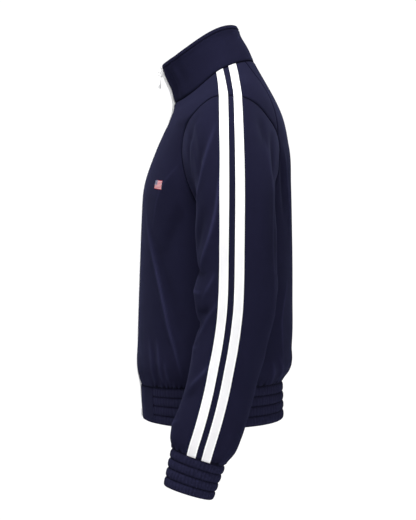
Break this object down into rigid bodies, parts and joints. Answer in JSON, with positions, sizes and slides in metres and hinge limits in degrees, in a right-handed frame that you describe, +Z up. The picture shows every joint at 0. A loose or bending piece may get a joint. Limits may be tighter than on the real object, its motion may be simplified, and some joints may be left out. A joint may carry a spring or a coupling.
{
  "type": "track jacket",
  "caption": "Zip-up track jacket with a standing collar, white tapes down the sleeves, and a gathered elastic hem and cuffs, filled out as when worn.",
  "frame": {"origin": "middle of the neck opening at the collar seam, where the wearer's neck and shoulders hold the jacket", "axes": "+Z up, the front towards -Y, the wearer's left towards +X"},
  "size_m": [0.6292, 0.284, 0.825],
  "materials": {
    "navy_cloth": "matt polyester knit",
    "white_tape": "matt woven tape",
    "zip_plastic": "satin",
    "zip_metal": "satin"
  },
  "bodies": {
    "garment": {"back": "navy_cloth", "front_left": "navy_cloth", "front_right": "navy_cloth", "sleeve_left": "navy_cloth", "sleeve_right": "navy_cloth", "collar": "navy_cloth", "hem_band": "navy_cloth", "hem_tab_left": "navy_cloth", "hem_tab_right": "navy_cloth", "cuff_left": "navy_cloth", "cuff_right": "navy_cloth", "tape_left_front": "white_tape", "tape_left_back": "white_tape", "tape_right_front": "white_tape", "tape_right_back": "white_tape", "zip_tape_left": "white_tape", "zip_tape_right": "white_tape", "zip_chain": "zip_plastic", "zip_box": "zip_plastic", "zip_slider": "zip_metal"},
    "pull_tab": {"zip_pull": "zip_metal"}
  },
  "joints": [
    {"name": "pull_tab_hinge", "type": "hinge", "parent": "garment", "child": "pull_tab", "pos_m": [0, -0.10005, 0.01578], "axis": [-1, 0, 0], "range_deg": [-20, 150]}
  ]
}
